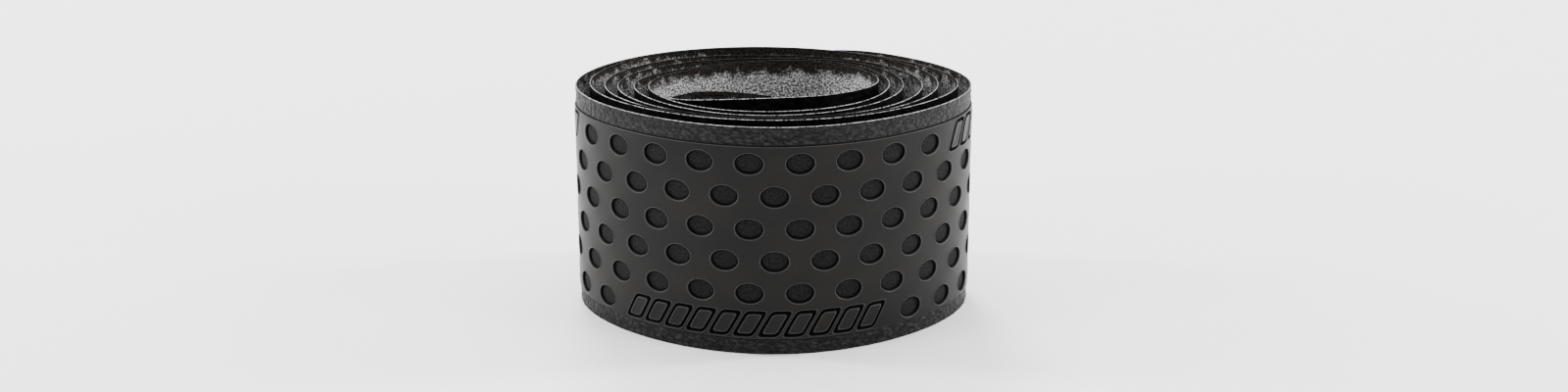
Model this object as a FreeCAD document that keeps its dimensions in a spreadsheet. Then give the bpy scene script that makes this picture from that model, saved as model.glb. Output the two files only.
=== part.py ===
import FreeCAD, Part

import math
import os

# A roll of embossed grip tape standing on its edge, in millimetres. The tape is one laminate:
# a dotted elastomer skin outside and a felt backing inside. It is wound loosely about a
# vertical axis, from a free tail at the back of the roll to a folded inner end in the hollow.
# Origin: on the floor, under the middle of the roll's bounding box. +Z is up, +X is right.

# Driving dimensions, kept in the spreadsheet under these names.
SIZES = {
    "tape_width": 39.0,
    "skin_thickness": 0.48,
    "backing_thickness": 0.20,
    "backing_inset": 0.40,
    "axis_x": 0.05,
    "axis_y": 1.78,
    "tail_bearing": 21.6,
    "tail_link": 12.48,
    "joint_gap": 0.12,
    "patch_length": 10.0,
    "patch_inset": 1.0,
    "patch_thickness": 0.10,
    "patch_gap": 0.01,
    "liner_thickness": 0.08,
    "liner_overhang": 0.60,
}

# How far the middle of the tape lies from the winding axis, one row per turn from the outside
# in, at eight bearings: back, back right, right, front right, front, front left, left, back
# left. The first value is the tail's end, which lies at tail_bearing instead of at the back.
BEARINGS = ("back", "back_right", "right", "front_right", "front", "front_left", "left", "back_left")
REACH = (
    (28.1, 29.7, 34.2, 31.2, 30.5, 31.1, 34.3, 30.5),
    (26.8, 27.3, 32.0, 27.7, 26.0, 27.6, 31.9, 29.5),
    (25.8, 26.3, 28.5, 26.7, 25.1, 26.7, 29.2, 24.5),
    (20.1, 22.0, 25.6, 25.4, 24.2, 25.6, 26.8, 21.0),
    (17.6, 20.4, 22.4, 22.6, 22.9, 23.4, 23.8, 16.9),
    (16.0, 18.6, 20.0, 20.3, 20.4, 21.4, 21.3, 15.7),
    (15.0, 17.3, 18.1, 13.0, 11.4),
)

# The inner end from the winding axis: the last run along the front of the hollow, the tight
# fold back on itself, and the free flap behind it.
INNER_END = (
    (-6.0, -12.2), (-11.5, -12.7), (-16.2, -12.2), (-17.3, -11.4),
    (-16.4, -10.1), (-14.2, -7.9), (-10.6, -7.0), (-6.5, -7.6), (-0.4, -10.2),
)
TAIL_LINKS = 3
FOLD_KNOT = 3          # the point of INNER_END at the tip of the fold
FOLD_REACH = 3.0       # how far from its tip the fold is tightly curved
COARSE_STEP = 4.0      # spacing of the points that the arcs pass through
FINE_STEP = 0.25


def add_sheet(doc):
    """The spreadsheet with the driving dimensions, the eight reaches of each turn included."""
    sheet = doc.addObject("Spreadsheet::Sheet", "Sizes")
    cells = dict(SIZES)
    for turn, reaches in enumerate(REACH, start=1):
        for bearing, reach in zip(BEARINGS, reaches):
            cells[f"turn_{turn}_{bearing}"] = reach
    for line, (alias, value) in enumerate(cells.items(), start=1):
        sheet.set(f"A{line}", alias)
        sheet.set(f"B{line}", str(value))
        sheet.setAlias(f"B{line}", alias)
    doc.recompute()
    return sheet


def tape_route(sheet):
    """The middle line of the tape seen from above, and the distances along it where turns start."""
    axis = FreeCAD.Vector(sheet.axis_x, sheet.axis_y, 0)
    points = []
    for turn, reaches in enumerate(REACH, start=1):
        for step, bearing in enumerate(BEARINGS[:len(reaches)]):
            is_tail = turn == 1 and step == 0
            angle = math.radians(sheet.tail_bearing if is_tail else 45.0 * step)
            reach = getattr(sheet, f"turn_{turn}_{bearing}")
            points.append(axis + FreeCAD.Vector(reach * math.sin(angle), reach * math.cos(angle), 0))
    turn_starts = points[len(BEARINGS)::len(BEARINGS)]
    points += [axis + FreeCAD.Vector(x, y, 0) for x, y in INNER_END]
    fold = points[len(points) - len(INNER_END) + FOLD_KNOT]
    route = Part.BSplineCurve()
    route.interpolate(points)
    distances = [route.length(route.FirstParameter, route.parameter(spot)) for spot in (*turn_starts, fold)]
    return route, distances[:-1], distances[-1]


def stations(start, end, fold):
    """An odd number of distances along the tape from start to end, close together at the fold."""
    marks = [start]
    edges = [start, *(edge for edge in (fold - FOLD_REACH, fold + FOLD_REACH) if start < edge < end), end]
    for low, high in zip(edges[:-1], edges[1:]):
        at_fold = abs((low + high) / 2 - fold) < FOLD_REACH
        pairs = math.ceil((high - low) / (2 * (FINE_STEP if at_fold else COARSE_STEP)))
        marks += [low + (high - low) * step / (2 * pairs) for step in range(1, 2 * pairs + 1)]
    return marks


def offset_curve(route, marks, offset):
    """Arcs beside the route, offset towards the skin side, each through three neighbouring marks."""
    points = []
    for mark in marks:
        place = route.parameterAtDistance(mark, route.FirstParameter)
        ahead = route.tangent(place)[0]
        points.append(route.value(place) + FreeCAD.Vector(-ahead.y, ahead.x, 0) * offset)
    triples = zip(points[0:-2:2], points[1:-1:2], points[2::2])
    return [Part.Arc(*triple).toShape() for triple in triples], points[0], points[-1]


def strip_face(route, marks, inner, outer):
    """A strip's plan: the area between two offsets of the route."""
    outside, outside_start, outside_end = offset_curve(route, marks, outer)
    inside, inside_start, inside_end = offset_curve(route, marks, inner)
    ends = [Part.makeLine(outside_start, inside_start), Part.makeLine(outside_end, inside_end)]
    return Part.Face(Part.Wire(Part.__sortEdges__(outside + inside + ends)))


def add_strip(doc, name, face, low_edge, height):
    """A strip standing on its edge: its plan, drawn up to a height read from the spreadsheet."""
    plan = doc.addObject("Part::Feature", f"{name}_plan")
    plan.Shape = face
    strip = doc.addObject("Part::Extrusion", name)
    strip.Label = name
    strip.Base = plan
    strip.DirMode = "Custom"
    strip.Dir = FreeCAD.Vector(0, 0, 1)
    strip.Solid = True
    strip.setExpression("LengthFwd", height)
    strip.setExpression("Placement.Base.z", low_edge)
    return strip


def add_skin(doc, route, sheet, name, start, end, fold):
    """A stretch of the embossed skin, as wide as the tape."""
    inner = (sheet.backing_thickness - sheet.skin_thickness) / 2
    outer = (sheet.backing_thickness + sheet.skin_thickness) / 2
    face = strip_face(route, stations(start, end, fold), inner, outer)
    return add_strip(doc, name, face, "0 mm", "Sizes.tape_width * 1 mm")


def add_backing(doc, route, sheet, name, start, end, fold):
    """A stretch of the felt backing, set in from the skin's edges."""
    inner = -(sheet.backing_thickness + sheet.skin_thickness) / 2
    outer = (sheet.backing_thickness - sheet.skin_thickness) / 2
    face = strip_face(route, stations(start, end, fold), inner, outer)
    height = "(Sizes.tape_width - 2 * Sizes.backing_inset) * 1 mm"
    return add_strip(doc, name, face, "Sizes.backing_inset * 1 mm", height)


def add_start_patch(doc, route, sheet, fold):
    """The adhesive patch under the tail's end, and the paper liner that covers it."""
    patch_face = -(sheet.backing_thickness + sheet.skin_thickness) / 2 - sheet.patch_gap
    patch_back = patch_face - sheet.patch_thickness
    patch_marks = stations(sheet.patch_inset, sheet.patch_inset + sheet.patch_length, fold)
    patch = add_strip(
        doc, "start_adhesive", strip_face(route, patch_marks, patch_back, patch_face),
        "2 * Sizes.backing_inset * 1 mm", "(Sizes.tape_width - 4 * Sizes.backing_inset) * 1 mm",
    )
    liner_end = patch_marks[-1] + sheet.liner_overhang
    liner_marks = stations(sheet.patch_inset - sheet.liner_overhang, liner_end, fold)
    liner_face = patch_back - sheet.patch_gap
    liner_back = liner_face - sheet.liner_thickness
    liner = add_strip(
        doc, "release_liner", strip_face(route, liner_marks, liner_back, liner_face),
        "1.5 * Sizes.backing_inset * 1 mm", "(Sizes.tape_width - 3 * Sizes.backing_inset) * 1 mm",
    )
    return [patch, liner]


def check(doc, pieces):
    """Stops if any object failed to compute, or any piece has no valid solid."""
    for item in doc.Objects:
        if "Invalid" in item.State or "Error" in item.State:
            raise RuntimeError(f"{item.Label}: {item.State}")
    for piece in pieces:
        if piece.Shape.isNull() or not piece.Shape.isValid() or piece.Shape.Volume <= 0:
            raise RuntimeError(f"{piece.Label} has no valid solid")


def report(route, sheet, fold, pieces):
    """Prints the tape's length, where the hinges lie, and the size of each piece."""
    length = route.length(route.FirstParameter, route.LastParameter)
    print(f"tape length {length:.2f} mm, fold at {fold:.2f} mm")
    outer = (sheet.backing_thickness + sheet.skin_thickness) / 2
    for mark in (*(sheet.tail_link * link for link in range(1, TAIL_LINKS + 1)), fold):
        place = route.parameterAtDistance(mark, route.FirstParameter)
        ahead = route.tangent(place)[0]
        hinge = route.value(place) + FreeCAD.Vector(-ahead.y, ahead.x, 0) * outer
        print(f"hinge at {mark:.2f} mm: x {hinge.x:.3f}, y {hinge.y:.3f}")
    for piece in pieces:
        box = piece.Shape.BoundBox
        print(
            f"{piece.Label}: {piece.Shape.Volume:.1f} mm3, x {box.XMin:.2f} to {box.XMax:.2f}, "
            f"y {box.YMin:.2f} to {box.YMax:.2f}, z {box.ZMin:.2f} to {box.ZMax:.2f}"
        )


def main():
    doc = FreeCAD.newDocument("grip_tape_roll")
    sheet = add_sheet(doc)
    route, turn_starts, fold = tape_route(sheet)
    length = route.length(route.FirstParameter, route.LastParameter)
    half_gap = sheet.joint_gap / 2

    # The tail is three links, so that it can curl away from the roll at three hinges.
    pieces = []
    for link, prefix in enumerate(("tail_tip", "tail_middle", "tail_root")):
        start = link * sheet.tail_link + (half_gap if link else 0.0)
        end = (link + 1) * sheet.tail_link - half_gap
        pieces.append(add_skin(doc, route, sheet, f"{prefix}_skin", start, end, fold))
        pieces.append(add_backing(doc, route, sheet, f"{prefix}_backing", start, end, fold))

    # The wound part is one node a turn for each layer, so that each turn is a simple open ring.
    roll_start = TAIL_LINKS * sheet.tail_link + half_gap
    roll_end = fold - half_gap
    cuts = [roll_start, *turn_starts, roll_end]
    for turn, (start, end) in enumerate(zip(cuts[:-1], cuts[1:]), start=1):
        pieces.append(add_skin(doc, route, sheet, f"turn_{turn}_skin", start, end, fold))
        pieces.append(add_backing(doc, route, sheet, f"turn_{turn}_backing", start, end, fold))

    pieces.append(add_skin(doc, route, sheet, "inner_flap_skin", fold + half_gap, length, fold))
    pieces.append(add_backing(doc, route, sheet, "inner_flap_backing", fold + half_gap, length, fold))
    pieces += add_start_patch(doc, route, sheet, fold)
    doc.recompute()
    check(doc, pieces)
    report(route, sheet, fold, pieces)

    os.makedirs("parts", exist_ok=True)
    for piece in pieces:
        piece.Shape.exportStep(f"parts/{piece.Label}.step")


main()
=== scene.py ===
import math

import bpy
import numpy as np
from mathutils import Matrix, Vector, noise


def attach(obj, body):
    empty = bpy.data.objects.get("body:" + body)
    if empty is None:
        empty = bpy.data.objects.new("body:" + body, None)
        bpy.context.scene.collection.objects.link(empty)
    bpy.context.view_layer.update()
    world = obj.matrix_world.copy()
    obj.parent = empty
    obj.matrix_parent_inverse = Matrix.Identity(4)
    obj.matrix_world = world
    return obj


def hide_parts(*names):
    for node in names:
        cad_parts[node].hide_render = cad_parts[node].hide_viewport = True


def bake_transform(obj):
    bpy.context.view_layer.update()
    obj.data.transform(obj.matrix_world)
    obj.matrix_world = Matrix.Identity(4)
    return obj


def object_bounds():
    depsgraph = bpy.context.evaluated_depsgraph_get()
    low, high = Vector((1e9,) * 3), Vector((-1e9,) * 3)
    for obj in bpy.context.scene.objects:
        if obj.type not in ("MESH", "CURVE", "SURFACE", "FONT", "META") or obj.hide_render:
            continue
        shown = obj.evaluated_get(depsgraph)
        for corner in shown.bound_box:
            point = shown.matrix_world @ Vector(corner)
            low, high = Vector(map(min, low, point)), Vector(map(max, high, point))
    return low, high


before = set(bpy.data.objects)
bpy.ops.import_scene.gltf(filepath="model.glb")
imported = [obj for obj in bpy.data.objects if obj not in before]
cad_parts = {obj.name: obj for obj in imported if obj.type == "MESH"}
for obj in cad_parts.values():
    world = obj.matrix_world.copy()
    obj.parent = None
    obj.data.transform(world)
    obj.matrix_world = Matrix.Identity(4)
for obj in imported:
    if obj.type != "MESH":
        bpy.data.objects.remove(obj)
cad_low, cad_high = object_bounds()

MM = 0.001

# The tape, in millimetres. u runs along it from the tail's end, z is the height, and h is the
# offset from the middle of the tape's thickness, positive towards the skin side.
WIDTH = 39.0
FIELD = 0.34           # h of the smooth raised field of the skin
SEAM = -0.14           # h where skin and felt are bonded
FELT_FACE = -0.33      # h of the felt's free face
BORDER = 0.16          # h of the grained border bands
EDGE_FELT = -0.23      # h of the felt's free face where it is pressed thin at the edges
SKIVE = 3.6            # how far the pressed edge of the felt reaches in
FELT_BACK = SEAM - 0.01  # h of the felt's bonded side
FELT_INSET = 0.05      # from the tape's ends to the felt's
FELT_LOW = 0.22        # the felt's lower and upper edge
FELT_HIGH = WIDTH - 0.16
FELT_SPLIT = WIDTH - 12.0  # above this the felt's points lie closer together
EASED = 0.02           # how far the skin's cut edge is eased

# The dots: staggered rows of recessed ovals.
HALF_PITCH = 4.16      # half the spacing along a row
ROW_PITCH = 5.54
TOP_ROW = 32.84
ROWS = 6
DOT_HALF_U = 2.35
DOT_HALF_Z = 1.76
DEPTH = 0.44
DRAFT = 0.12           # how far up the dot's floor sits, so that its lower wall slopes more
FIELD_LOW = 2.95
FIELD_HIGH = TOP_ROW + ROW_PITCH / 2
EDGES = ((FIELD_HIGH, WIDTH), (FIELD_LOW, 0.0))  # where each border starts, and its rim

# The motif: runs of slanted bars that take the place of dots, by turns in the bottom and top row.
MOTIF_PERIOD = 30      # in half pitches, as are the four below
MOTIF_LENGTH = 12
BOTTOM_MOTIF = 16      # where the first run in the bottom row starts
TOP_MOTIF = 1
MOTIF_MARGIN = 0.5
BAR_HALF_U = 1.50
BAR_INSET = 0.48       # from a bar's end to the edge of its row
BAR_CORNERS = 7        # the power that rounds a bar's corners: higher is squarer

# How finely the meshes are divided.
SEGMENTS_U = 12        # along one dot's cell, and up it
SEGMENTS_Z = 6
BAR_SEGMENTS_Z = 10    # up a bar's cell
STEP = 2 * HALF_PITCH / SEGMENTS_U
SLANT = -2 * STEP      # how far a bar leans each way: whole steps, so that its row meets the next
FINE_RATIO = 3         # steps of the fine border to one STEP
BAND_FINE = 0.21       # spacing across the borders: on the outer turns, further in, and on the flap
BAND_COARSE = 0.5
BAND_FLAP = 0.3
FIELD_POINTS = 37      # up the field at the tape's cut start
FLAP_POINTS = 112      # up the field of the flap
FLAP_STEP = 0.26
FELT_STEP = HALF_PITCH / 12
FELT_POINTS = (40, 36)  # up the felt, below and above FELT_SPLIT
PATCH_STEP = 0.4
PATCH_POINTS = 40
WELDS_PER_MM = 2000    # points that round to the same place on this grid are one
UNWELDED = 0.004       # a gap just wide enough to keep an edge sharp

# How far the middle of the tape lies from the winding axis, one row a turn from the outside in,
# at eight bearings from the back round by the right. The first value is the tail's end, which
# lies at TAIL_BEARING instead of at the back.
AXIS = (0.05, 1.78)
TAIL_BEARING = 21.6
REACH = (
    (28.1, 29.7, 34.2, 31.2, 30.5, 31.1, 34.3, 30.5),
    (26.8, 27.3, 32.0, 27.7, 26.0, 27.6, 31.9, 29.5),
    (25.8, 26.3, 28.5, 26.7, 25.1, 26.7, 29.2, 24.5),
    (20.1, 22.0, 25.6, 25.4, 24.2, 25.6, 26.8, 21.0),
    (17.6, 20.4, 22.4, 22.6, 22.9, 23.4, 23.8, 16.9),
    (16.0, 18.6, 20.0, 20.3, 20.4, 21.4, 21.3, 15.7),
    (15.0, 17.3, 18.1, 13.0, 11.4),
)
# The inner end from the winding axis: the last run, the tight fold and the free flap.
INNER_END = (
    (-6.0, -12.2), (-11.5, -12.7), (-16.2, -12.2), (-17.3, -11.4),
    (-16.4, -10.1), (-14.2, -7.9), (-10.6, -7.0), (-6.5, -7.6), (-0.4, -10.2),
)
FOLD_KNOT = 3          # the point of INNER_END at the tip of the fold
FOLD_REACH = 2.6       # how far from its tip the fold is tightly curved
FOLD_STEP = 0.11       # spacing of the points there
ROUTE_STEP = 0.03      # spacing of the route's points
TAIL_LINK = 12.48      # from the tail's end to its first hinge, and from each hinge to the next
CORNER_DROP = 0.45     # how far the tail's top corner is eased down, and over what length
CORNER_LENGTH = 10.0

# The patch under the tail's end and its liner: where they lie along the tape, how far from its
# edges, and h of their two faces.
ADHESIVE_SPAN, ADHESIVE_MARGIN, ADHESIVE_FACES = (1.0, 11.0), 0.8, (-0.35, -0.45)
LINER_SPAN, LINER_MARGIN, LINER_FACES = (0.4, 11.6), 0.6, (-0.46, -0.54)


# ---------------------------------------------------------------- the route of the tape
def route_knots():
    """The points that the middle of the tape passes through, seen from above."""
    knots = []
    for turn, reaches in enumerate(REACH):
        for step, reach in enumerate(reaches):
            bearing = math.radians(TAIL_BEARING if turn == step == 0 else 45.0 * step)
            knots.append((AXIS[0] + reach * math.sin(bearing), AXIS[1] + reach * math.cos(bearing)))
    return np.array(knots + [(AXIS[0] + x, AXIS[1] + y) for x, y in INNER_END])


def distances(points):
    """How far along the line through the points each of them lies."""
    return np.concatenate([[0], np.cumsum(np.hypot(*np.diff(points, axis=0).T))])


def smooth_curve(knots, spacing):
    """Points along the cubic spline through the knots.

    Its first two spans are one cubic, and so are its last two.
    """
    at = distances(knots)
    gap = np.diff(at)
    count = len(at)
    system, right = np.zeros((count, count)), np.zeros((count, 2))
    system[0, :3] = -gap[1], gap[0] + gap[1], -gap[0]
    system[-1, -3:] = -gap[-1], gap[-2] + gap[-1], -gap[-2]
    for k in range(1, count - 1):
        system[k, k - 1:k + 2] = gap[k - 1], 2 * (gap[k - 1] + gap[k]), gap[k]
        right[k] = 6 * ((knots[k + 1] - knots[k]) / gap[k] - (knots[k] - knots[k - 1]) / gap[k - 1])
    bend = np.linalg.solve(system, right)
    where = np.arange(0, at[-1], spacing)
    k = np.clip(np.searchsorted(at, where, side="right") - 1, 0, count - 2)
    a = ((at[k + 1] - where) / gap[k])[:, None]
    b = 1 - a
    curve = a * knots[k] + b * knots[k + 1]
    curve += ((a ** 3 - a) * bend[k] + (b ** 3 - b) * bend[k + 1]) * (gap[k] ** 2)[:, None] / 6
    return curve


KNOTS = route_knots()
ROUTE = smooth_curve(KNOTS, ROUTE_STEP)
ALONG = distances(ROUTE)
AHEAD = np.gradient(ROUTE, axis=0)
AHEAD /= np.hypot(*AHEAD.T)[:, None]
FOLD_TIP = KNOTS[len(KNOTS) - len(INNER_END) + FOLD_KNOT]
FOLD = ALONG[np.argmin(np.hypot(*(ROUTE - FOLD_TIP).T))]
LENGTH = round(ALONG[-1] / HALF_PITCH) * HALF_PITCH


def place(points):
    """Tape coordinates (u, z, h) to the object's frame, in metres. The tail's top corner is eased down."""
    u, z, h = points.T
    near_end = np.clip(1 - u / CORNER_LENGTH, 0, 1)
    z = z - CORNER_DROP * near_end * near_end * z / WIDTH
    x, y = (np.interp(u, ALONG, ROUTE[:, k]) for k in (0, 1))
    tx, ty = (np.interp(u, ALONG, AHEAD[:, k]) for k in (0, 1))
    return np.column_stack([x - ty * h, y + tx * h, z]) * MM


# ---------------------------------------------------------------- meshes in tape coordinates
def grid_faces(rows, columns):
    """The faces between the points of a grid that are listed row by row."""
    a = (np.arange(rows - 1)[:, None] * columns + np.arange(columns - 1)).ravel()
    return np.column_stack([a, a + 1, a + columns + 1, a + columns])


class Cloth:
    """Patches of faces in tape coordinates, welded into one surface and then cut into pieces."""

    def __init__(self):
        self.points, self.faces, self.tones, self.cuts = [], [], [], []
        self.count = 0

    def add(self, points, faces, tones, where):
        """where is the u that says which piece each face belongs to: one number, or one a face."""
        self.points.append(points)
        self.tones.append(tones)
        self.faces.append(np.where(faces < 0, -1, faces + self.count))
        self.cuts.append(np.broadcast_to(where, len(faces)))
        self.count += len(points)

    def grid(self, us, profile, flip=False):
        """A strip: the profile's (z, h, tone) points repeated at each u."""
        profile = np.asarray(profile, float)
        nu, nz = len(us), len(profile)
        points = np.column_stack([np.repeat(us, nz), np.tile(profile[:, 0], nu), np.tile(profile[:, 1], nu)])
        faces = grid_faces(nu, nz)
        if flip:
            faces = faces[:, ::-1]
        self.add(points, faces, np.tile(profile[:, 2], nu), np.repeat((us[:-1] + us[1:]) / 2, nz - 1))

    def end(self, u, outline, base, tone, flip):
        """Closes a cut end at u, from h = base to the outline's (z, h) points."""
        for low, high in zip(outline[:-1], outline[1:]):
            corners = [(u, low[0], base), (u, high[0], base), (u, high[0], high[1]), (u, low[0], low[1])]
            face = [3, 2, 1, 0] if flip else [0, 1, 2, 3]
            self.add(np.array(corners), np.array([face]), np.full(4, tone), u)

    def weld(self):
        """Makes one point of those that lie in the same place."""
        points = np.concatenate(self.points)
        keys = np.round(points * WELDS_PER_MM).astype(np.int64)
        _, first, same = np.unique(keys, axis=0, return_index=True, return_inverse=True)
        faces = np.concatenate(self.faces)
        self.welded = np.where(faces < 0, -1, same.ravel()[faces])
        self.flat = points[first]
        self.tone = np.concatenate(self.tones)[first]
        self.where = np.concatenate(self.cuts)

    def shape(self, relief=None):
        """Places the welded points in space, relief added to h, and finds their normals."""
        self.weld()
        solid = self.flat.copy()
        if relief is not None:
            solid[:, 2] += relief(self.flat, self.tone)
        self.solid = place(solid)
        fourth = np.where(self.welded[:, 3:] < 0, self.welded[:, 2:3], self.welded[:, 3:])
        corner = np.hstack([self.welded[:, :3], fourth])
        across = self.solid[corner[:, 2]] - self.solid[corner[:, 0]]
        other = self.solid[corner[:, 3]] - self.solid[corner[:, 1]]
        normal = np.cross(across, other)
        self.normal = np.zeros_like(self.solid)
        for k in range(4):
            np.add.at(self.normal, corner[:, k], normal)
        self.normal /= np.maximum(np.linalg.norm(self.normal, axis=1), 1e-12)[:, None]

    def piece(self, name, start, end, material):
        """The part of the surface whose faces lie between start and end, as an object."""
        faces = self.welded[(self.where >= start) & (self.where < end)]
        used, back = np.unique(faces[faces >= 0], return_inverse=True)
        local = np.full(faces.shape, -1)
        local[faces >= 0] = back
        loops = local[local >= 0]
        loop_starts = np.concatenate([[0], np.cumsum((local >= 0).sum(axis=1))[:-1]])
        mesh = bpy.data.meshes.new(name)
        mesh.vertices.add(len(used))
        mesh.vertices.foreach_set("co", self.solid[used].ravel())
        mesh.loops.add(len(loops))
        mesh.loops.foreach_set("vertex_index", loops.astype(np.int32))
        mesh.polygons.add(len(faces))
        mesh.polygons.foreach_set("loop_start", loop_starts.astype(np.int32))
        mesh.update(calc_edges=True)
        mesh.validate()
        tone = mesh.attributes.new("tone", "FLOAT", "POINT")
        tone.data.foreach_set("value", self.tone[used].astype(np.float32))
        tape = mesh.uv_layers.new(name="tape")
        tape.data.foreach_set("uv", (self.flat[used][:, :2] * MM)[loops].astype(np.float32).ravel())
        mesh.polygons.foreach_set("use_smooth", np.ones(len(faces), bool))
        mesh.normals_split_custom_set_from_vertices(self.normal[used])
        mesh.materials.append(material)
        made = bpy.data.objects.new(name, mesh)
        bpy.context.scene.collection.objects.link(made)
        return made


def steps(start, end, step):
    """Evenly spaced distances from start to end, about a step apart."""
    return np.linspace(start, end, max(1, round((end - start) / step)) + 1)


def fold_steps(start, end, step):
    """Distances along the tape from start to end, close together round the fold between them."""
    near, far = FOLD - FOLD_REACH, FOLD + FOLD_REACH
    before, at_fold, after = steps(start, near, step), steps(near, far, FOLD_STEP), steps(far, end, step)
    return np.concatenate([before[:-1], at_fold[:-1], after])


# ---------------------------------------------------------------- the skin's relief
# Tones tell the material where it is: on the raised lip of a recess, in the flat field, on the wall of a
# recess or its floor, on the grained border, on a cut edge, or on the rounding beside that, which gets a
# painted highlight where the rim stands clear. Values between two of them lie between two places. The
# material also paints a highlight on the lips, and shade on the walls and in the grain's creases.
LIP, FLAT, WALL, RECESS, GRAIN, CUT, LIT_RIM = -1.0, 0.0, 0.65, 1.0, 2.0, 3.0, 4.0

# A dot's rings, from the field to its floor: how far outside the oval, the drop, and the tone.
DOT_RINGS = (
    (0.62, 0.0, FLAT), (0.30, 0.0, FLAT), (0.19, -0.02, FLAT), (0.11, -0.05, LIP), (0.04, -0.01, LIP),
    (-0.02, 0.12, 0.3), (-0.06, 0.36, WALL), (-0.12, DEPTH, WALL), (-0.20, DEPTH, 0.85),
    (-0.32, DEPTH - 0.01, RECESS), (-0.95, DEPTH - 0.06, RECESS),
)
# A bar's rings: a groove round a raised middle.
BAR_RINGS = (
    (0.46, -0.01, FLAT), (0.35, -0.05, LIP), (0.26, 0.0, 0.2), (0.20, 0.26, 0.6), (0.14, DEPTH, WALL),
    (-0.14, DEPTH, WALL), (-0.20, 0.26, 0.6), (-0.25, -0.02, 0.2), (-0.36, -0.08, LIP),
    (-0.52, -0.07, FLAT), (-0.80, -0.03, FLAT),
)
OVAL_START = -150      # degrees: an oval's first point faces the lower left corner of its cell


def rim_points(count_u, count_z):
    """The outline of a square from -1 to 1, from the lower left corner, with the counts a side."""
    side_u = np.arange(count_u) / count_u * 2 - 1
    side_z = np.arange(count_z) / count_z * 2 - 1
    return np.concatenate([
        np.column_stack([side_u, -np.ones(count_u)]), np.column_stack([np.ones(count_z), side_z]),
        np.column_stack([-side_u, np.ones(count_u)]), np.column_stack([-np.ones(count_z), -side_z]),
    ])


def ring_cell(outline, rings, ring_tones, middle_tone):
    """A cell from its outline through its rings to a middle point: its points, faces and tones."""
    loops = [outline, *rings]
    n = len(outline)
    points = np.vstack([*loops, loops[-1].mean(axis=0)])
    i = np.arange(n)
    j = (i + 1) % n
    faces = []
    for k in range(len(rings)):
        faces.append(np.column_stack([k * n + i, (k + 1) * n + i, (k + 1) * n + j, k * n + j]))
    last = len(rings) * n
    faces.append(np.column_stack([last + i, np.full(n, last + n), last + j, np.full(n, -1)]))
    return points, np.vstack(faces), np.append(np.repeat([FLAT, *ring_tones], n), middle_tone)


def row_span(row):
    """The heights between which a row's cells lie."""
    centre = TOP_ROW - ROW_PITCH * row
    return max(centre - ROW_PITCH / 2, FIELD_LOW), centre + ROW_PITCH / 2


def dot_cell(row):
    """A dot and the field round it, relative to the dot's centre along the tape."""
    low, high = row_span(row)
    centre = TOP_ROW - ROW_PITCH * row
    square = rim_points(SEGMENTS_U, SEGMENTS_Z)
    n = len(square)
    heights = low + (square[:, 1] + 1) / 2 * (high - low)
    outline = np.column_stack([square[:, 0] * HALF_PITCH, heights, np.full(n, FIELD)])
    angle = math.radians(OVAL_START) + 2 * math.pi * np.arange(n) / n
    across, up = np.cos(angle), np.sin(angle)
    rings = []
    for grow, drop, _ in DOT_RINGS:
        middle = centre + DRAFT * max(drop, 0) / DEPTH
        ring = [across * (DOT_HALF_U + grow), middle + up * (DOT_HALF_Z + grow), np.full(n, FIELD - drop)]
        rings.append(np.column_stack(ring))
    return ring_cell(outline, rings, [tone for _, _, tone in DOT_RINGS], RECESS)


def bar_cell(row):
    """A slanted bar and the field round it, half a pitch wide, relative to its lower left corner."""
    low, high = row_span(row)
    half_z = (high - low) / 2
    square = rim_points(SEGMENTS_U // 2, BAR_SEGMENTS_Z)
    rounding = (np.abs(square) ** BAR_CORNERS).sum(axis=1) ** (-1 / BAR_CORNERS)
    soft = square * rounding[:, None]

    def lean(across, up, height):
        along = HALF_PITCH / 2 + across + SLANT * up / half_z
        return np.column_stack([along, low + half_z + up, np.full(len(across), height)])

    outline = lean(square[:, 0] * HALF_PITCH / 2, square[:, 1] * half_z, FIELD)
    rings = []
    for grow, drop, _ in BAR_RINGS:
        up = soft[:, 1] * (half_z - BAR_INSET + grow)
        rings.append(lean(soft[:, 0] * (BAR_HALF_U + grow), up, FIELD - drop))
    return ring_cell(outline, rings, [tone for _, _, tone in BAR_RINGS], FLAT)


def add_plain_cell(cloth, row, left, right, lean_left=0.0, lean_right=0.0):
    """A plain part of a row between two ends, in half pitches, either of which may be slanted."""
    low, high = row_span(row)
    count = max(2, round((right - left) * SEGMENTS_U / 2))
    sides = np.meshgrid(np.linspace(0, 1, count + 1), np.linspace(0, 1, SEGMENTS_Z + 1), indexing="ij")
    across, up = (side.ravel() for side in sides)
    lean = 2 * up - 1
    start = left * HALF_PITCH + lean * lean_left
    end = right * HALF_PITCH + lean * lean_right
    along = start + (end - start) * across
    points = np.column_stack([along, low + (high - low) * up, np.full(len(up), FIELD)])
    faces = grid_faces(count + 1, SEGMENTS_Z + 1)
    cloth.add(points, faces, np.full(len(points), FLAT), (left + right) / 2 * HALF_PITCH)


def add_copies(cloth, cell, starts):
    """The same cell at each start along the tape."""
    points, faces, tones = cell
    for start in starts:
        cloth.add(points + (start, 0, 0), faces, tones, start)


def motif_runs(first, last_column):
    """Where the motif's whole runs lie in a row, in half pitches."""
    starts = range(first, last_column - MOTIF_LENGTH, MOTIF_PERIOD)
    return [(start, start + MOTIF_LENGTH) for start in starts]


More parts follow.
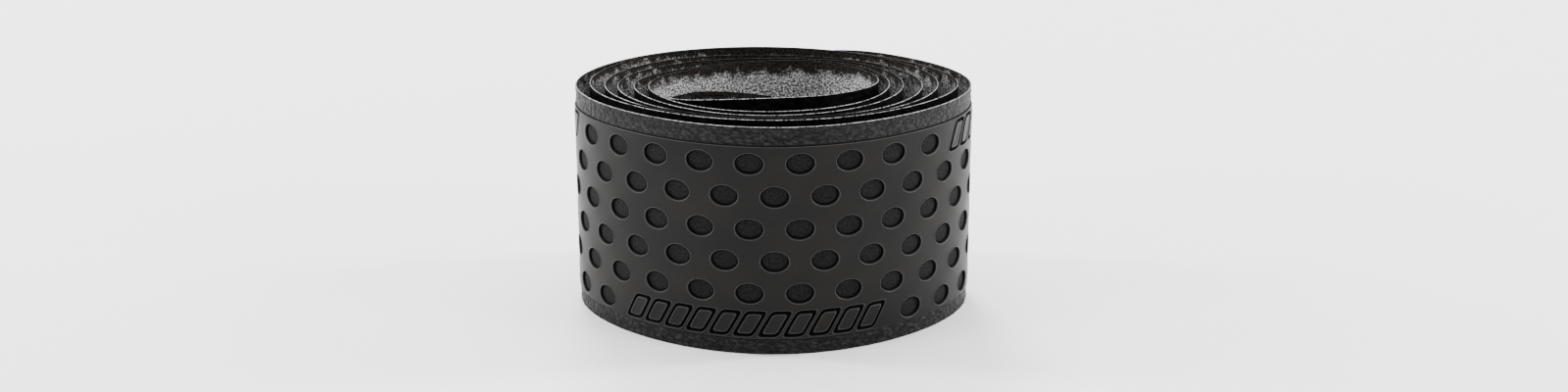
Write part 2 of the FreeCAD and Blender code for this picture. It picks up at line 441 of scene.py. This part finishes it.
def add_row(cloth, row, last_column):
    """One row of the field, from the tape's start to last_column: dots, motif runs, plain ends."""
    first_runs = {0: TOP_MOTIF, ROWS - 1: BOTTOM_MOTIF}
    runs = motif_runs(first_runs[row], last_column) if row in first_runs else []
    for left, right in runs:
        inner_left = left + MOTIF_MARGIN
        inner_right = right - MOTIF_MARGIN
        add_plain_cell(cloth, row, left, inner_left, 0.0, SLANT)
        add_copies(cloth, bar_cell(row), np.arange(inner_left, inner_right) * HALF_PITCH)
        add_plain_cell(cloth, row, inner_right, right, SLANT, 0.0)
    columns = range(row % 2, last_column + 1, 2)
    centres = [c for c in columns if not any(left <= c <= right for left, right in runs)]
    add_copies(cloth, dot_cell(row), [c * HALF_PITCH for c in centres if 0 < c < last_column])
    if centres[0] == 0:
        add_plain_cell(cloth, row, 0, 1)
    if centres[-1] == last_column:
        add_plain_cell(cloth, row, last_column - 1, last_column)


def border_profile(edge, rim, step):
    """The way from the field's edge out to the tape's: the groove, and then the band and the rim."""
    out = 1 if rim > edge else -1
    width = abs(rim - edge)
    # the field's shoulder takes the lip's tone, and so its painted highlight
    groove = [
        (0.0, FIELD, FLAT), (0.05, FIELD - 0.01, LIP), (0.11, FIELD - 0.06, LIP),
        (0.15, 0.20, 0.4), (0.18, 0.11, WALL),
    ]
    join = [(0.25, 0.08, RECESS)]
    band_start, band_end = 0.42, width - 0.20
    rows = max(2, round((band_end - band_start) / step))
    rise = [(0.34, 0.11, 1.5)]
    band = [(away, BORDER, GRAIN) for away in np.linspace(band_start, band_end, rows + 1)]
    lip = [
        (width - 0.09, BORDER - 0.01, GRAIN), (width - 0.05, BORDER - 0.03, LIT_RIM),
        (width - 0.02, BORDER - 0.06, LIT_RIM), (width, BORDER - 0.10, LIT_RIM),
        (width, BORDER - 0.12, CUT), (width, SEAM + 0.03, CUT), (width - EASED, SEAM, CUT),
    ]

    def real(points):
        return [(edge + out * away, h, tone) for away, h, tone in points]

    return real(groove + join), real(join + rise + band + lip)


def add_fan(cloth, coarse, fine, coarse_point, fine_point, flip):
    """Faces between a row of coarse steps and a row of fine steps, several to each coarse one."""
    ratio = (len(fine) - 1) // (len(coarse) - 1)
    half = ratio // 2
    nc = len(coarse)
    points, tones = [], []
    for us, (z, h, tone) in ((coarse, coarse_point), (fine, fine_point)):
        points.append(np.column_stack([us, np.full(len(us), z), np.full(len(us), h)]))
        tones.append(np.full(len(us), tone))
    faces, where = [], []
    for k in range(nc - 1):
        f = nc + k * ratio
        fan = [(k, f + m, f + m + 1, -1) for m in range(half)]
        fan.append((k, f + half, k + 1, -1))
        fan += [(k + 1, f + m, f + m + 1, -1) for m in range(half, ratio)]
        faces += fan
        where += [(coarse[k] + coarse[k + 1]) / 2] * len(fan)
    faces = np.array(faces)
    if flip:
        faces = faces[:, [1, 0, 2, 3]]
    cloth.add(np.vstack(points), faces, np.concatenate(tones), np.array(where))


def build_skin(fine_end, fold_start):
    """The whole skin up to fold_start: rows of cells, borders, edges and the bonded side."""
    cloth = Cloth()
    for row in range(ROWS):
        add_row(cloth, row, round(fold_start / HALF_PITCH))
    outer = steps(0, fine_end, STEP)
    outer_fine = steps(0, fine_end, STEP / FINE_RATIO)
    wound = steps(fine_end, fold_start, STEP)
    for edge, rim in EDGES:
        down = rim < edge
        groove, band = border_profile(edge, rim, BAND_FINE)
        _, band_coarse = border_profile(edge, rim, BAND_COARSE)
        cloth.grid(outer, groove, flip=down)
        add_fan(cloth, outer, outer_fine, groove[-1], band[1], flip=down)
        cloth.grid(outer_fine, band[1:], flip=down)
        cloth.grid(wound, groove + band_coarse[1:], flip=down)
    bonded = [(z, SEAM, CUT) for z in (WIDTH - EASED, WIDTH * 0.75, WIDTH * 0.25, EASED)]
    cloth.grid(steps(0, fold_start, STEP), bonded)
    field = [(z, FIELD) for z in np.linspace(FIELD_LOW, FIELD_HIGH, FIELD_POINTS)]
    cloth.end(0.0, field, SEAM, CUT, flip=True)
    for edge, rim in EDGES:
        _, band = border_profile(edge, rim, BAND_COARSE)
        cloth.end(0.0, band[:-2], SEAM, CUT, flip=True)
    return cloth


LAST_RUN = 60.0        # the length before the fold that lies free of the turns outside it
WELL_CLEAR = 9.0       # the clearance taken for that, for the flap and for the outermost turn
HIGHLIGHT_FROM = 0.95       # a rim gets its painted highlight from this clearance on, fully after the next value more
HIGHLIGHT_OVER = 0.3


def rim_highlight_share():
    """How much painted highlight the rims get along the route: none where a turn lies tight in the one
    outside it.
    """
    away = ROUTE - AXIS
    bearing = np.unwrap(np.arctan2(away[:, 0], away[:, 1]))
    reach = np.hypot(*away.T)
    wound = ALONG < FOLD - LAST_RUN
    outside = np.interp(bearing - 2 * math.pi, bearing[wound], reach[wound])
    clear = np.where(wound & (bearing > bearing[0] + 2 * math.pi), outside - reach, WELL_CLEAR)
    return np.clip((clear - HIGHLIGHT_FROM) / HIGHLIGHT_OVER, 0, 1)


RIM_HIGHLIGHT = rim_highlight_share()

# The leather grain: creases between cells that are longer along the tape and sway a little.
SWAY_U, SWAY_Z = 1.7, 1.2
CREASE_U, CREASE_Z = 1.25, 0.42
SHIFT_U, SHIFT_Z = 0.5, 0.7  # how far the sway shifts a crease, in cells, as is CREASE_WIDTH
CREASE_WIDTH = 0.4
GRAIN_HEIGHT = 0.17
GRAIN_LEVEL = 0.66     # the share of GRAIN_HEIGHT that lies below BORDER
SWAY_HEIGHT = 0.03
GRAIN_TONES = 0.1      # how far the tone goes to each side of GRAIN


def skin_relief(flat, tone):
    """Leather grain on the borders, with painted shade in its creases, and a painted highlight on the rims
    where they stand clear.
    """
    relief = np.zeros(len(flat))
    # a rim's tone says how much painted highlight it gets
    rim = tone == LIT_RIM
    tone[rim] = CUT + (LIT_RIM - CUT) * np.interp(flat[rim, 0], ALONG, RIM_HIGHLIGHT)
    for k in np.nonzero(np.abs(tone - GRAIN) < 0.01)[0]:
        u, z, _ = flat[k]
        sway = noise.noise((u / SWAY_U, z / SWAY_Z, 7.0))
        near, _ = noise.voronoi((u / CREASE_U + SHIFT_U * sway, z / CREASE_Z + SHIFT_Z * sway, 0.0))
        crease = min(near[1] - near[0], CREASE_WIDTH) / CREASE_WIDTH
        relief[k] = GRAIN_HEIGHT * (crease - GRAIN_LEVEL) + SWAY_HEIGHT * sway
        # painted shade: the tone is lower in a crease and higher on a ridge, and the material darkens the
        # creases by it
        tone[k] = GRAIN + GRAIN_TONES * (2 * crease - 1)
    return relief


# ---------------------------------------------------------------- the felt
SIDE_FROM = 8.0        # painted light: the felt is made lighter towards the roll's sides, from this distance off the middle, fully after this much more, by a tone of SIDE_TONE
SIDE_OVER = 12.0       # the middle, fully after this much more, by a tone of SIDE_TONE
SIDE_TONE = 0.20
TUFT_SIZE = 1.1
TUFT_DETAIL = (1.0, 2.2, 4)  # how fast the detail fades, how much finer each octave is, and how many
TUFT_HEIGHT = 0.055
PRESSED_SHARE = 0.35   # the share of TUFT_HEIGHT that is left at a pressed edge


def felt_point(z):
    """The felt's free face at a height: full in the middle, pressed thin towards both edges."""
    inside = min(z, WIDTH - z) / SKIVE
    rise = min(max(inside, 0.0), 1.0)
    rise = rise * rise * (3 - 2 * rise)
    return z, EDGE_FELT + (FELT_FACE - EDGE_FELT) * rise, min(1.0, inside)


def build_felt():
    """The whole felt strip. Its tone is 0 at a pressed edge and 1 where it is full."""
    cloth = Cloth()
    below, above = FELT_POINTS
    lower = [felt_point(z) for z in np.linspace(FELT_LOW, FELT_SPLIT, below)]
    upper = [felt_point(z) for z in np.linspace(FELT_SPLIT, FELT_HIGH, above)]
    back = [(FELT_LOW, FELT_BACK, 0.0), (FELT_HIGH, FELT_BACK, 0.0)]
    us = fold_steps(FELT_INSET, LENGTH - FELT_INSET, FELT_STEP)
    cloth.grid(us, lower + upper[1:], flip=True)
    cloth.grid(us, [lower[0], back[0]])
    cloth.grid(us, back)
    cloth.grid(us, [back[1], upper[-1]])
    return cloth


def felt_relief(flat, tone):
    """Matted fibres: fine unevenness, less where the edge is pressed."""
    relief = np.zeros(len(flat))
    beside = np.abs(np.interp(flat[:, 0], ALONG, ROUTE[:, 0]))
    # painted light: the tone is raised towards the roll's sides, which makes the felt lighter there
    tone += SIDE_TONE * np.clip((beside - SIDE_FROM) / SIDE_OVER, 0, 1)
    for k in np.nonzero(flat[:, 2] < FELT_BACK)[0]:
        u, z, _ = flat[k]
        tuft = noise.fractal((u / TUFT_SIZE, z / TUFT_SIZE, 3.0), *TUFT_DETAIL)
        relief[k] = -TUFT_HEIGHT * tuft * (PRESSED_SHARE + (1 - PRESSED_SHARE) * tone[k])
    return relief


# ---------------------------------------------------------------- the flap's skin, fine enough to fold
def dot_drop(u, z):
    """How deep the skin is pressed in at a point of the field, and its tone there.

    Dots that the tape's ends would cut are left out.
    """
    row = np.clip(np.round((TOP_ROW - z) / ROW_PITCH), 0, ROWS - 1)
    odd = row % 2
    centre = (2 * np.round((u / HALF_PITCH - odd) / 2) + odd) * HALF_PITCH
    centre_z = TOP_ROW - ROW_PITCH * row
    radius = np.hypot((u - centre) / DOT_HALF_U, (z - centre_z) / DOT_HALF_Z)
    grow = (radius - 1) * DOT_HALF_Z
    whole = (centre > 0) & (centre < LENGTH - HALF_PITCH / 2)
    grows, drops, tones = zip(*sorted(DOT_RINGS))
    return np.interp(grow, grows, drops) * whole, np.interp(grow, grows, tones) * whole


def build_flap(start):
    """The skin from start to the tape's inner end, as a closed sleeve of evenly fine faces."""
    cloth = Cloth()
    us = fold_steps(start, LENGTH, FLAP_STEP)
    borders = []
    for edge, rim in EDGES:
        groove, band = border_profile(edge, rim, BAND_FLAP)
        borders.append(groove + band[1:])
    upper, lower = borders
    field = [(z, FIELD, FLAT) for z in np.linspace(FIELD_LOW, FIELD_HIGH, FLAP_POINTS)]
    sleeve = lower[::-1] + field[1:] + upper[1:]
    cloth.grid(us, sleeve)
    cloth.grid(us, [sleeve[-1], sleeve[0]])
    for low, high in zip(sleeve[:-1], sleeve[1:]):
        if high[0] > low[0]:
            cloth.end(LENGTH + UNWELDED, (low, high), SEAM, CUT, flip=False)
    return cloth


def flap_relief(flat, tone):
    """The skin's relief, with the dots pressed into the field."""
    relief = skin_relief(flat, tone)
    z = flat[:, 1]
    inside = (flat[:, 2] == FIELD) & (z > FIELD_LOW + 0.01) & (z < FIELD_HIGH - 0.01)
    drop, tone[inside] = dot_drop(flat[inside, 0], z[inside])
    relief[inside] = -drop
    return relief


# ---------------------------------------------------------------- materials
def grey(level):
    return level, level, level


def socket_input(tree, socket, value):
    """Links a socket to another, or sets its number or its colour."""
    if isinstance(value, bpy.types.NodeSocket):
        tree.links.new(value, socket)
    else:
        socket.default_value = (*value, 1.0) if isinstance(value, tuple) else value


def math_node(tree, operation, *values):
    node = tree.nodes.new("ShaderNodeMath")
    node.operation = operation
    for socket, value in zip(node.inputs, values):
        socket_input(tree, socket, value)
    return node.outputs[0]


def noise_node(tree, vector, scale, detail, rough, squeeze=(1, 1, 1)):
    mapping = tree.nodes.new("ShaderNodeMapping")
    mapping.inputs["Scale"].default_value = squeeze
    tree.links.new(vector, mapping.inputs["Vector"])
    node = tree.nodes.new("ShaderNodeTexNoise")
    tree.links.new(mapping.outputs["Vector"], node.inputs["Vector"])
    node.inputs["Scale"].default_value = scale
    node.inputs["Detail"].default_value = detail
    node.inputs["Roughness"].default_value = rough
    return node.outputs["Fac"]


def ramp(tree, value, *stops):
    """A colour ramp through stops of a position and a colour."""
    node = tree.nodes.new("ShaderNodeValToRGB")
    socket_input(tree, node.inputs["Fac"], value)
    elements = node.color_ramp.elements
    while len(elements) < len(stops):
        elements.new(0.5)
    for element, (position, colour) in zip(elements, stops):
        element.position = position
        element.color = (*colour, 1.0)
    return node.outputs["Color"]


def mix(tree, factor, first, second, kind="RGBA", blend="MIX"):
    """Two colours, or two numbers where kind is VALUE, mixed by a factor."""
    node = tree.nodes.new("ShaderNodeMix")
    node.data_type = "RGBA" if kind == "RGBA" else "FLOAT"
    node.blend_type = blend
    ends = [socket for socket in node.inputs if socket.type == kind and socket.name in ("A", "B")]
    for socket, value in zip((node.inputs["Factor"], *ends), (factor, first, second)):
        socket_input(tree, socket, value)
    return next(socket for socket in node.outputs if socket.type == kind)


def map_range(tree, value, low, high, to_low=0.0, to_high=1.0):
    node = tree.nodes.new("ShaderNodeMapRange")
    socket_input(tree, node.inputs["Value"], value)
    for name, number in (("From Min", low), ("From Max", high), ("To Min", to_low), ("To Max", to_high)):
        socket_input(tree, node.inputs[name], number)
    return node.outputs["Result"]


def bump(tree, height, strength, distance, onto=None):
    node = tree.nodes.new("ShaderNodeBump")
    socket_input(tree, node.inputs["Height"], height)
    node.inputs["Strength"].default_value = strength
    node.inputs["Distance"].default_value = distance
    if onto is not None:
        tree.links.new(onto, node.inputs["Normal"])
    return node.outputs["Normal"]


def new_material(name, roughness, specular=0.5):
    material = bpy.data.materials.new(name)
    material.use_nodes = True
    tree = material.node_tree
    shader = tree.nodes["Principled BSDF"]
    shader.inputs["Roughness"].default_value = roughness
    shader.inputs["Specular IOR Level"].default_value = specular
    return material, tree, shader


def tape_vector(tree):
    """Where a point lies on the flat tape: u and z, in metres."""
    node = tree.nodes.new("ShaderNodeUVMap")
    node.uv_map = "tape"
    return node.outputs["UV"]


def tone_value(tree):
    node = tree.nodes.new("ShaderNodeAttribute")
    node.attribute_name = "tone"
    return node.outputs["Fac"]


# Scales of the noise on the tape, per metre.
FINE_SCALE = 2600.0
PORE_SCALE = 2400.0
HAZE_SCALE = 42.0
SPECK_SCALE = 2700.0
CLOUD_SCALE = 420.0
MOTTLE_SCALE = 900.0


def skin_material(name, shade):
    """shade is painted shade: it darkens the colour of the turns that lie inside the roll, where the light
    hardly reaches.
    """
    material, tree, shader = new_material(name, 0.4, 0.085 * shade)
    tape, tone = tape_vector(tree), tone_value(tree)

    # How much of a point is lip, recess, border, and so on, from its tone.
    lip = map_range(tree, tone, -0.2, LIP)
    deep = map_range(tree, tone, 0.75, RECESS)
    grain = map_range(tree, tone, RECESS, 1.8)
    ridge = map_range(tree, tone, 1.9, 2.08)
    cut = map_range(tree, tone, 2.3, 2.9)
    rim_lit = map_range(tree, tone, 3.2, 3.8)
    floor = math_node(tree, "SUBTRACT", deep, grain)
    from_wall = math_node(tree, "ABSOLUTE", math_node(tree, "SUBTRACT", tone, WALL))
    wall = map_range(tree, from_wall, 0.15, 0.45, 1.0, 0.0)

    haze = noise_node(tree, tape, HAZE_SCALE, 4.0, 0.6, (1, 1.6, 1))
    field = ramp(tree, haze, (0.35, (0.0058, 0.0058, 0.0060)), (0.62, (0.0100, 0.0092, 0.0084)))
    fibre = noise_node(tree, tape, FINE_SCALE, 3.0, 0.65)
    pressed = ramp(tree, fibre, (0.35, grey(0.002)), (0.68, grey(0.018)))
    # painted shade in the grain's creases: they are near black, the ridges lighter
    leather = mix(tree, ridge, grey(0.001), grey(0.018))
    colour = mix(tree, floor, field, pressed)
    colour = mix(tree, grain, colour, leather)
    colour = mix(tree, cut, colour, grey(0.006))
    # painted highlight: the lips and the field's shoulder are a lighter grey
    colour = mix(tree, lip, colour, grey(0.042))
    # painted shade: the walls of the recesses and the floor beside them are near black
    colour = mix(tree, wall, colour, grey(0.001))
    # painted shade: the colour is multiplied by shade, darker for the turns inside the roll
    colour = mix(tree, 1.0, colour, grey(shade), blend="MULTIPLY")
    highlight_noise = noise_node(tree, tape, FINE_SCALE, 2.0, 0.6)
    # painted highlight on the rims that stand clear, broken up by noise
    painted_highlight = ramp(tree, highlight_noise, (0.38, grey(0.04)), (0.55, grey(0.48)))
    tree.links.new(mix(tree, rim_lit, colour, painted_highlight), shader.inputs["Base Color"])

    rough = map_range(tree, haze, 0.3, 0.7, 0.32, 0.44)
    for part, roughness in ((floor, 0.7), (grain, 0.40), (wall, 0.9), (rim_lit, 0.25)):
        rough = mix(tree, part, rough, roughness, kind="VALUE")
    tree.links.new(rough, shader.inputs["Roughness"])

    normal = bump(tree, noise_node(tree, tape, FINE_SCALE, 3.0, 0.6), 0.2, 0.00004)
    normal = bump(tree, math_node(tree, "MULTIPLY", fibre, floor), 0.8, 0.00015, normal)
    pores = noise_node(tree, tape, PORE_SCALE, 3.0, 0.65)
    normal = bump(tree, math_node(tree, "MULTIPLY", pores, grain), 0.8, 0.00012, normal)
    tree.links.new(normal, shader.inputs["Normal"])
    return material


def felt_material():
    """Grey specks on a dark ground, thinning out in clouds where the felt is pressed."""
    material, tree, shader = new_material("felt", 0.9, 0.05)
    tape, tone = tape_vector(tree), tone_value(tree)
    speck = noise_node(tree, tape, SPECK_SCALE, 4.0, 0.75)
    cloud = noise_node(tree, tape, CLOUD_SCALE, 4.0, 0.65)
    light = ramp(tree, speck, (0.40, grey(0.02)), (0.50, grey(0.15)), (0.60, grey(0.74)))
    dark = ramp(tree, speck, (0.42, (0.0025, 0.0022, 0.0020)), (0.62, (0.036, 0.031, 0.028)))
    # the tone holds painted light too: it is raised towards the roll's sides
    fullness = math_node(tree, "ADD", tone, math_node(tree, "MULTIPLY", cloud, 1.6))
    full = map_range(tree, fullness, 1.15, 1.6)
    tree.links.new(mix(tree, full, dark, light), shader.inputs["Base Color"])
    tree.links.new(bump(tree, speck, 0.7, 0.00018), shader.inputs["Normal"])
    return material


def plain_material(name, colour, roughness):
    """A slightly mottled sheet."""
    material, tree, shader = new_material(name, roughness)
    coords = tree.nodes.new("ShaderNodeTexCoord")
    mottle = noise_node(tree, coords.outputs["Object"], MOTTLE_SCALE, 3.0, 0.55)
    shade = tuple(c * 0.82 for c in colour)
    tree.links.new(ramp(tree, mottle, (0.35, shade), (0.65, colour)), shader.inputs["Base Color"])
    tree.links.new(bump(tree, mottle, 0.2, 0.00005), shader.inputs["Normal"])
    return material


# ---------------------------------------------------------------- the pieces
SKIN = skin_material("polymer_skin", 1.0)
# a copy of the skin with painted shade, for the turns inside the roll and the flap
SHADED_SKIN = skin_material("polymer_skin_painted_shade", 0.25)
FELT = felt_material()

# Where the tape is cut into pieces. A cell goes whole to the side that its middle lies on, so the
# seams step round the dots.
TIP_END = 4.5 * HALF_PITCH
MIDDLE_END = 7.5 * HALF_PITCH
ROOT_END = 10.5 * HALF_PITCH
OUTER_END = 54 * HALF_PITCH
SECOND_END = 116.5 * HALF_PITCH
THIRD_END = 178.5 * HALF_PITCH
FLAP_START = 241 * HALF_PITCH

skin = build_skin(OUTER_END, FLAP_START)
skin.shape(skin_relief)
flap = build_flap(FLAP_START)
flap.shape(flap_relief)
felt = build_felt()
felt.shape(felt_relief)


def finish_piece(piece, nodes, bodies, hinge=None):
    """Ties a piece to its first body; where a hinge is given, it only bakes the piece's place into its mesh.
    Either way the CAD nodes are hidden.
    """
    if hinge is None:
        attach(piece, bodies[0])
    else:
        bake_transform(piece)
    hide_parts(*nodes)


def add_stretch(part, start, end, material, stretches, bodies, hinge=None):
    """The skin and the felt of a part of the tape, in place of those CAD stretches."""
    skin_nodes = [f"{stretch}_skin" for stretch in stretches]
    felt_nodes = [f"{stretch}_backing" for stretch in stretches]
    skin_piece = skin.piece(f"{part}_skin_tape", start, end, material)
    finish_piece(skin_piece, skin_nodes, bodies, hinge)
    felt_piece = felt.piece(f"{part}_felt", start, end, FELT)
    finish_piece(felt_piece, felt_nodes, bodies, hinge)


def add_flap():
    """The skin and the felt of the folded inner end."""
    bodies = ("roll", "inner_flap")
    skin_piece = flap.piece("inner_flap_skin_tape", FLAP_START, math.inf, SHADED_SKIN)
    finish_piece(skin_piece, ["inner_flap_skin"], bodies, FOLD)
    felt_piece = felt.piece("inner_flap_felt", FLAP_START, math.inf, FELT)
    finish_piece(felt_piece, ["inner_flap_backing"], bodies, FOLD)


def add_patch(node, span, margin, faces, material):
    """A flat patch on the felt under the tail's end, as a thin closed sheet laid along the tape's curve."""
    cloth = Cloth()
    face, back = faces
    us = steps(*span, PATCH_STEP)
    heights = np.linspace(margin, WIDTH - margin, PATCH_POINTS)
    front = [(z, face, FLAT) for z in heights]
    rear = [(z, back, FLAT) for z in heights]
    cloth.grid(us, front)
    cloth.grid(us, rear, flip=True)
    cloth.grid(us, [front[-1], rear[-1]])
    cloth.grid(us, [rear[0], front[0]])
    cloth.end(us[0], front, back, FLAT, flip=False)
    cloth.end(us[-1], front, back, FLAT, flip=True)
    cloth.shape()
    sheet = cloth.piece(f"{node}_sheet", -math.inf, math.inf, material)
    finish_piece(sheet, [node], ("tail_tip", "tail_middle"), TAIL_LINK)


add_stretch("tail_tip", -math.inf, TIP_END, SKIN, ["tail_tip"], ("tail_tip", "tail_middle"), TAIL_LINK)
add_stretch(
    "tail_middle", TIP_END, MIDDLE_END, SKIN, ["tail_middle"], ("tail_middle", "tail_root"), 2 * TAIL_LINK,
)
add_stretch("tail_root", MIDDLE_END, ROOT_END, SKIN, ["tail_root"], ("tail_root", "roll"), 3 * TAIL_LINK)
add_stretch("outer_turn", ROOT_END, OUTER_END, SKIN, ["turn_1"], ["roll"])
add_stretch("second_turns", OUTER_END, SECOND_END, SHADED_SKIN, ["turn_2", "turn_3"], ["roll"])
add_stretch("third_turns", SECOND_END, THIRD_END, SHADED_SKIN, ["turn_4", "turn_5"], ["roll"])
add_stretch("inner_turns", THIRD_END, FLAP_START, SHADED_SKIN, ["turn_6", "turn_7"], ["roll"])
add_flap()

ADHESIVE = plain_material("adhesive", (0.55, 0.50, 0.40), 0.3)
add_patch("start_adhesive", ADHESIVE_SPAN, ADHESIVE_MARGIN, ADHESIVE_FACES, ADHESIVE)
LINER = plain_material("liner", (0.62, 0.60, 0.56), 0.55)
add_patch("release_liner", LINER_SPAN, LINER_MARGIN, LINER_FACES, LINER)

# ---------------------------------------------------------------- the stage
# Places and sizes are in metres, the lens in millimetres.
FLOOR_SIZE = 20
SOFTBOXES = (  # name, place, what it points at, size, watts
    ("top", (0.0, 0.25, 1.0), (0.0, 0.10, 0.0), (1.3, 1.0), 20.0),
    ("left_front", (-0.75, -0.35, 0.33), (0.0, 0.0, 0.03), (0.20, 0.20), 4.0),
    ("right_front", (0.75, -0.35, 0.33), (0.0, 0.0, 0.03), (0.20, 0.20), 4.0),
    ("back", (-0.12, 0.75, 0.80), (0.0, 0.0, 0.02), (0.30, 0.30), 14.0),
    ("left", (-0.8, 0.15, 0.40), (0.0, 0.0, 0.02), (0.12, 0.5), 9.0),
    ("right", (0.8, 0.15, 0.40), (0.0, 0.0, 0.02), (0.12, 0.5), 9.0),
)
CAMERA_AT = Vector((0.00186, -0.3521, 0.1266))
CAMERA_AIM = Vector((0.00186, 0.00578, 0.0169))
FOCAL_LENGTH = 47.94
SENSOR_WIDTH = 36.0


def facing(place_at, aim):
    """The rotation that points an object's -Z from one place to another, with Y up."""
    return (Vector(aim) - Vector(place_at)).to_track_quat("-Z", "Y")


def add_softbox(name, place_at, aim, size, power):
    light = bpy.data.lights.new(name, "AREA")
    light.shape = "RECTANGLE"
    light.size, light.size_y = size
    light.energy = power
    lamp = bpy.data.objects.new(name, light)
    lamp.location = place_at
    lamp.rotation_mode = "QUATERNION"
    lamp.rotation_quaternion = facing(place_at, aim)
    bpy.context.scene.collection.objects.link(lamp)


bpy.ops.mesh.primitive_plane_add(size=FLOOR_SIZE, location=(0, 0, cad_low.z))
floor = bpy.context.active_object
floor.name = "floor"
paper, _, paper_shader = new_material("paper", 0.9, 0.0)
paper_shader.inputs["Base Color"].default_value = (*grey(0.93), 1.0)
floor.data.materials.append(paper)

world = bpy.data.worlds.new("studio")
bpy.context.scene.world = world
world.use_nodes = True
background = world.node_tree.nodes["Background"]
background.inputs["Color"].default_value = (*grey(1.0), 1.0)
background.inputs["Strength"].default_value = 0.45

for softbox in SOFTBOXES:
    add_softbox(*softbox)

lens = bpy.data.cameras.new("camera")
lens.sensor_width = SENSOR_WIDTH
lens.lens = FOCAL_LENGTH
lens.dof.use_dof = False
lens.clip_start = 0.01
camera = bpy.data.objects.new("camera", lens)
camera.location = CAMERA_AT
camera.rotation_mode = "QUATERNION"
camera.rotation_quaternion = facing(CAMERA_AT, CAMERA_AIM)
bpy.context.scene.collection.objects.link(camera)
bpy.context.scene.camera = camera
